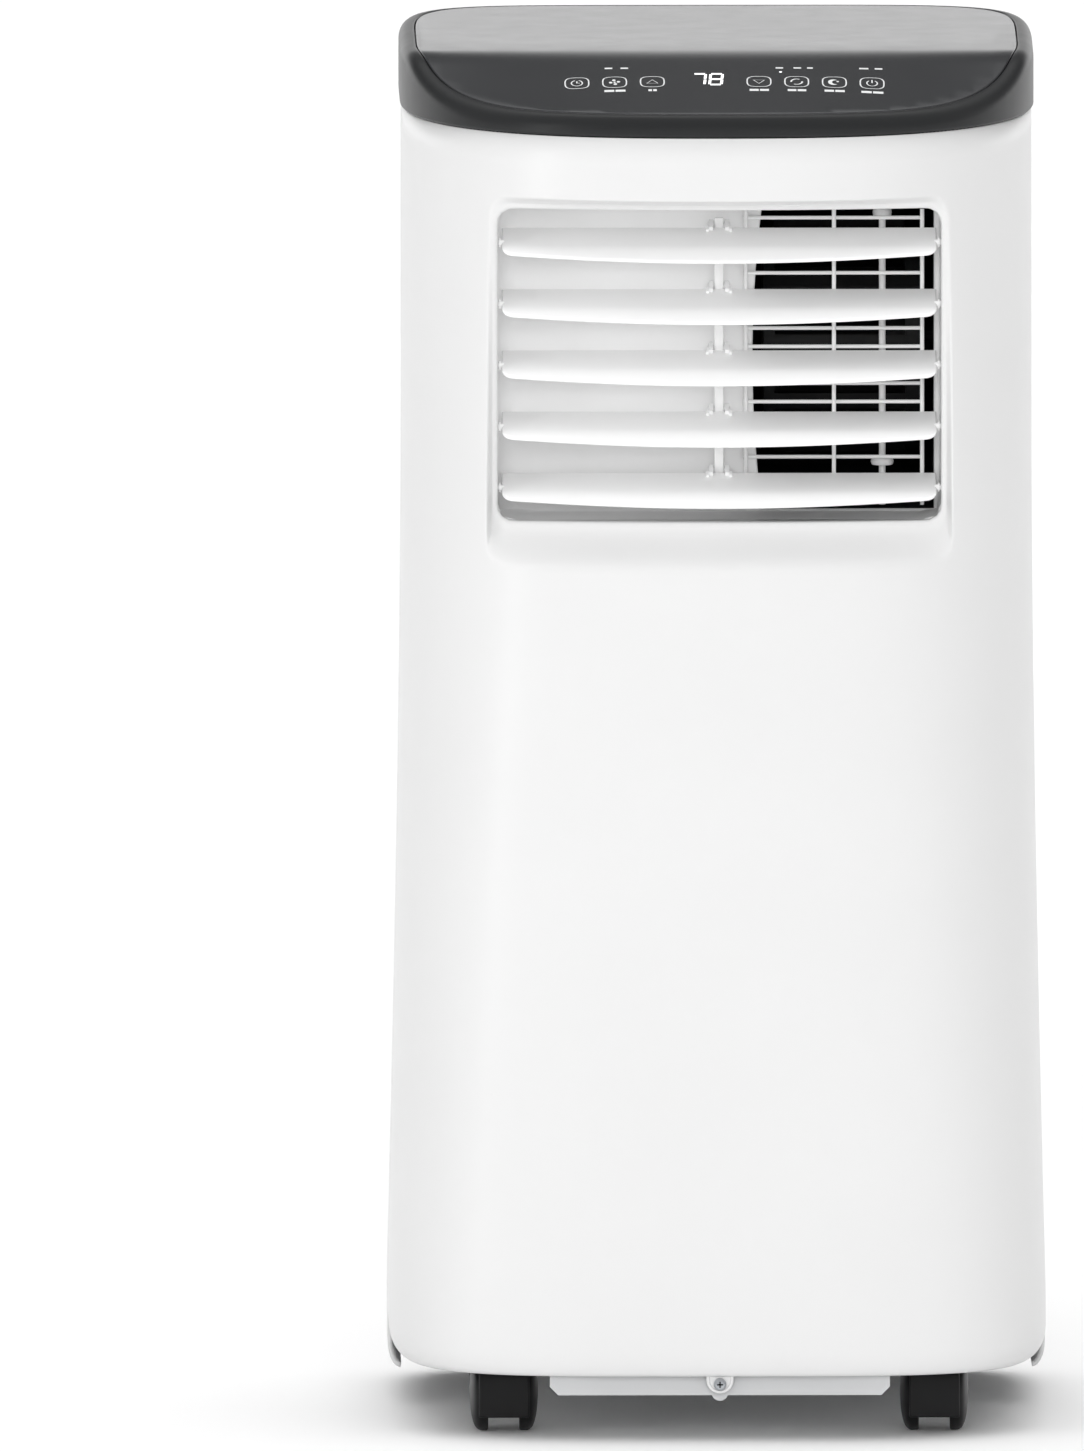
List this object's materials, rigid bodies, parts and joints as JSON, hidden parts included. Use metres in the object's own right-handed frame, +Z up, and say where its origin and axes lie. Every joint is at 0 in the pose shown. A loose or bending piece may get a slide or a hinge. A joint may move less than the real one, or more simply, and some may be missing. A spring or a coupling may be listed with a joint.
{
  "type": "portable air conditioner",
  "caption": "Upright portable air conditioner on casters: white casings, dark sloped control cap, linked outlet louvres, rear filter cover, exhaust collar and internal cooling circuit.",
  "frame": {"origin": "on the floor under the middle of the body", "axes": "+Z up, the air outlet faces -Y, +X is to the right as seen from the front"},
  "size_m": [0.3114, 0.328, 0.65],
  "materials": {
    "white_abs": "satin moulded ABS",
    "charcoal_abs": "satin moulded ABS",
    "light_grey_plastic": "fine moulded texture",
    "dark_plastic": "matt black",
    "black_nylon": "satin nylon",
    "black_enamel": "black enamel",
    "rubber": "matt",
    "zinc_plated_steel": "zinc plated",
    "aluminium": "mill",
    "copper": "bare copper tube",
    "circuit_board": "solder mask",
    "white_coated_wire": "white coated wire"
  },
  "bodies": {
    "chassis": {"front_casing": "white_abs", "rear_casing": "white_abs", "top_cover": "charcoal_abs", "control_panel": "charcoal_abs", "control_board": "circuit_board", "display_module": "light_grey_plastic", "outlet_duct": "light_grey_plastic", "outlet_guard": "white_coated_wire", "duct_post": "light_grey_plastic", "blower_housing": "dark_plastic", "blower_motor": "zinc_plated_steel", "exhaust_housing": "dark_plastic", "exhaust_motor": "zinc_plated_steel", "exhaust_collar": "white_abs", "evaporator_coil": "aluminium", "condenser_coil": "aluminium", "compressor": "black_enamel", "compressor_foot_1": "rubber", "compressor_foot_2": "rubber", "compressor_foot_3": "rubber", "accumulator": "black_enamel", "discharge_pipe": "copper", "suction_pipe": "copper", "base_pan": "light_grey_plastic", "base_screw": "zinc_plated_steel", "mid_deck": "light_grey_plastic", "electrical_box": "zinc_plated_steel", "run_capacitor": "aluminium", "lower_grille": "white_abs", "cord_gland": "black_nylon"},
    "louvre_1": {"louvre_1": "white_abs"},
    "louvre_2": {"louvre_2": "white_abs"},
    "louvre_3": {"louvre_3": "white_abs"},
    "louvre_4": {"louvre_4": "white_abs"},
    "louvre_5": {"louvre_5": "white_abs"},
    "link": {"louvre_link": "white_abs"},
    "cool_wheel": {"blower_wheel": "light_grey_plastic"},
    "hot_wheel": {"exhaust_wheel": "dark_plastic"},
    "filter": {"filter_cover": "white_abs", "filter_mesh": "light_grey_plastic"},
    "plug": {"drain_plug": "rubber"},
    "swivel_front_left": {"caster_hood_front_left": "black_nylon"},
    "wheels_front_left": {"caster_wheels_front_left": "black_nylon"},
    "swivel_front_right": {"caster_hood_front_right": "black_nylon"},
    "wheels_front_right": {"caster_wheels_front_right": "black_nylon"},
    "swivel_rear_left": {"caster_hood_rear_left": "black_nylon"},
    "wheels_rear_left": {"caster_wheels_rear_left": "black_nylon"},
    "swivel_rear_right": {"caster_hood_rear_right": "black_nylon"},
    "wheels_rear_right": {"caster_wheels_rear_right": "black_nylon"}
  },
  "joints": [
    {"name": "louvre_1_tilt", "type": "hinge", "parent": "chassis", "child": "louvre_1", "pos_m": [0, -0.126, 0.5681], "axis": [1, 0, 0], "range_deg": [-32, 24]},
    {"name": "louvre_2_tilt", "type": "hinge", "parent": "chassis", "child": "louvre_2", "pos_m": [0, -0.126, 0.53887], "axis": [1, 0, 0], "range_deg": [-32, 24]},
    {"name": "louvre_3_tilt", "type": "hinge", "parent": "chassis", "child": "louvre_3", "pos_m": [0, -0.126, 0.50964], "axis": [1, 0, 0], "range_deg": [-32, 24]},
    {"name": "louvre_4_tilt", "type": "hinge", "parent": "chassis", "child": "louvre_4", "pos_m": [0, -0.126, 0.48041], "axis": [1, 0, 0], "range_deg": [-32, 24]},
    {"name": "louvre_5_tilt", "type": "hinge", "parent": "chassis", "child": "louvre_5", "pos_m": [0, -0.126, 0.45118], "axis": [1, 0, 0], "range_deg": [-32, 24]},
    {"name": "link_swing", "type": "hinge", "parent": "louvre_3", "child": "link", "pos_m": [0, -0.10852, 0.516], "axis": [1, 0, 0], "range_deg": [-24, 32]},
    {"name": "cool_wheel_spin", "type": "hinge", "parent": "chassis", "child": "cool_wheel", "pos_m": [0.096, 0.005, 0.51], "axis": [1, 0, 0], "continuous": true},
    {"name": "hot_wheel_spin", "type": "hinge", "parent": "chassis", "child": "hot_wheel", "pos_m": [0.066, 0.036, 0.152], "axis": [0, 1, 0], "continuous": true},
    {"name": "filter_pull", "type": "slide", "parent": "chassis", "child": "filter", "axis": [0, 1, 0], "range_m": [0, 0.06]},
    {"name": "plug_pull", "type": "slide", "parent": "chassis", "child": "plug", "axis": [0, 1, 0], "range_m": [0, 0.03]},
    {"name": "swivel_front_left_turn", "type": "hinge", "parent": "chassis", "child": "swivel_front_left", "pos_m": [-0.102, -0.1, 0.05], "axis": [0, 0, 1], "continuous": true},
    {"name": "wheels_front_left_roll", "type": "hinge", "parent": "swivel_front_left", "child": "wheels_front_left", "pos_m": [-0.102, -0.108, 0.019], "axis": [1, 0, 0], "continuous": true},
    {"name": "swivel_front_right_turn", "type": "hinge", "parent": "chassis", "child": "swivel_front_right", "pos_m": [0.102, -0.1, 0.05], "axis": [0, 0, 1], "continuous": true},
    {"name": "wheels_front_right_roll", "type": "hinge", "parent": "swivel_front_right", "child": "wheels_front_right", "pos_m": [0.102, -0.108, 0.019], "axis": [1, 0, 0], "continuous": true},
    {"name": "swivel_rear_left_turn", "type": "hinge", "parent": "chassis", "child": "swivel_rear_left", "pos_m": [-0.102, 0.1, 0.05], "axis": [0, 0, 1], "continuous": true},
    {"name": "wheels_rear_left_roll", "type": "hinge", "parent": "swivel_rear_left", "child": "wheels_rear_left", "pos_m": [-0.102, 0.108, 0.019], "axis": [1, 0, 0], "continuous": true},
    {"name": "swivel_rear_right_turn", "type": "hinge", "parent": "chassis", "child": "swivel_rear_right", "pos_m": [0.102, 0.1, 0.05], "axis": [0, 0, 1], "continuous": true},
    {"name": "wheels_rear_right_roll", "type": "hinge", "parent": "swivel_rear_right", "child": "wheels_rear_right", "pos_m": [0.102, 0.108, 0.019], "axis": [1, 0, 0], "continuous": true}
  ],
  "couplings": [
    {"joint": "louvre_1_tilt", "follows": "louvre_3_tilt", "ratio": 1},
    {"joint": "louvre_2_tilt", "follows": "louvre_3_tilt", "ratio": 1},
    {"joint": "louvre_4_tilt", "follows": "louvre_3_tilt", "ratio": 1},
    {"joint": "louvre_5_tilt", "follows": "louvre_3_tilt", "ratio": 1},
    {"joint": "link_swing", "follows": "louvre_3_tilt", "ratio": -1}
  ]
}
